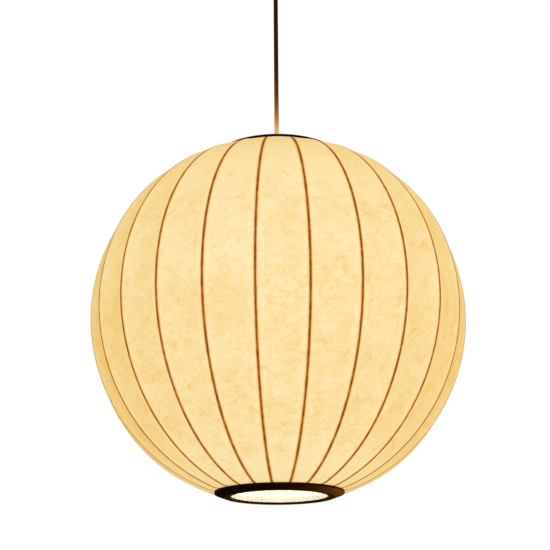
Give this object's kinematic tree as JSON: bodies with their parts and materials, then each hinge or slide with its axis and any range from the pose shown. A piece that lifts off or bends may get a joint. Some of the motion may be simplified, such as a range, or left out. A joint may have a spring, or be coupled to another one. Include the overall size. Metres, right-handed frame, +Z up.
{
  "type": "paper pendant lantern",
  "caption": "Round ribbed pendant lantern: a globe of wire ribs under a translucent paper skin, open dark rings at top and bottom, hung by a flex from a ceiling canopy.",
  "frame": {"origin": "middle of the ceiling bracket's top face, which lies on the ceiling", "axes": "+Z up along the flex and the globe's axis, -Y towards the front; the ribs stand symmetrically about the YZ plane"},
  "size_m": [0.476, 0.476, 0.7788],
  "materials": {
    "paper": "matte",
    "rib_wire": "satin",
    "dark_wood": "satin",
    "enamel": "satin",
    "zinc_steel": "satin",
    "dark_metal": "satin",
    "black_plastic": "satin",
    "white_plastic": "matte",
    "porcelain": "gloss",
    "brass": "satin",
    "bulb_base_metal": "satin",
    "frosted_glass": "satin",
    "flex_sheath": "matte",
    "brown_core": "satin",
    "blue_core": "satin"
  },
  "bodies": {
    "root": {"ceiling_bracket": "zinc_steel", "ceiling_canopy": "dark_metal", "canopy_screw_left": "zinc_steel", "canopy_screw_right": "zinc_steel", "terminal_block": "white_plastic", "canopy_cord_grip": "black_plastic", "canopy_grip_nut": "black_plastic", "cord_end_upper": "flex_sheath", "core_upper_live": "brown_core", "core_upper_neutral": "blue_core"},
    "cord": {"pendant_cord": "flex_sheath"},
    "lampholder": {"holder_cord_grip": "black_plastic", "holder_grip_nut": "black_plastic", "holder_cap": "black_plastic", "holder_body": "black_plastic", "holder_insulator": "porcelain", "holder_screw_shell": "brass", "holder_contact": "brass", "cord_end_lower": "flex_sheath", "core_lower_live": "brown_core", "core_lower_neutral": "blue_core"},
    "clamp_ring": {"shade_ring": "black_plastic"},
    "lantern": {"carrier_hub": "enamel", "carrier_arm_1": "enamel", "carrier_arm_2": "enamel", "carrier_arm_3": "enamel", "top_ring": "dark_wood", "bottom_ring": "dark_wood", "top_hoop": "enamel", "bottom_hoop": "enamel", "rib_01": "rib_wire", "rib_02": "rib_wire", "rib_03": "rib_wire", "rib_04": "rib_wire", "rib_05": "rib_wire", "rib_06": "rib_wire", "rib_07": "rib_wire", "rib_08": "rib_wire", "rib_09": "rib_wire", "rib_10": "rib_wire", "rib_11": "rib_wire", "rib_12": "rib_wire", "rib_13": "rib_wire", "rib_14": "rib_wire", "rib_15": "rib_wire", "rib_16": "rib_wire", "rib_17": "rib_wire", "rib_18": "rib_wire", "rib_19": "rib_wire", "rib_20": "rib_wire", "rib_21": "rib_wire", "rib_22": "rib_wire", "rib_23": "rib_wire", "rib_24": "rib_wire", "paper_skin": "paper"},
    "bulb": {"bulb_glass": "frosted_glass", "bulb_screw_base": "bulb_base_metal", "bulb_contact_tip": "brass", "bulb_stem": "porcelain"}
  },
  "joints": [
    {"name": "cord_swing", "type": "hinge", "parent": "root", "child": "cord", "pos_m": [0, 0, -0.07], "axis": [0, 1, 0], "range_deg": [-20, 20]},
    {"name": "lantern_sway", "type": "hinge", "parent": "cord", "child": "lampholder", "pos_m": [0, 0, -0.34], "axis": [1, 0, 0], "range_deg": [-15, 15]},
    {"name": "clamp_ring_travel", "type": "slide", "parent": "lampholder", "child": "clamp_ring", "axis": [0, 0, -1], "range_m": [0, 0.013]},
    {"name": "lantern_turn", "type": "hinge", "parent": "clamp_ring", "child": "lantern", "pos_m": [0, 0, -0.384], "axis": [0, 0, 1], "continuous": true},
    {"name": "bulb_travel", "type": "slide", "parent": "lampholder", "child": "bulb", "axis": [0, 0, -1], "range_m": [0, 0.024]}
  ]
}
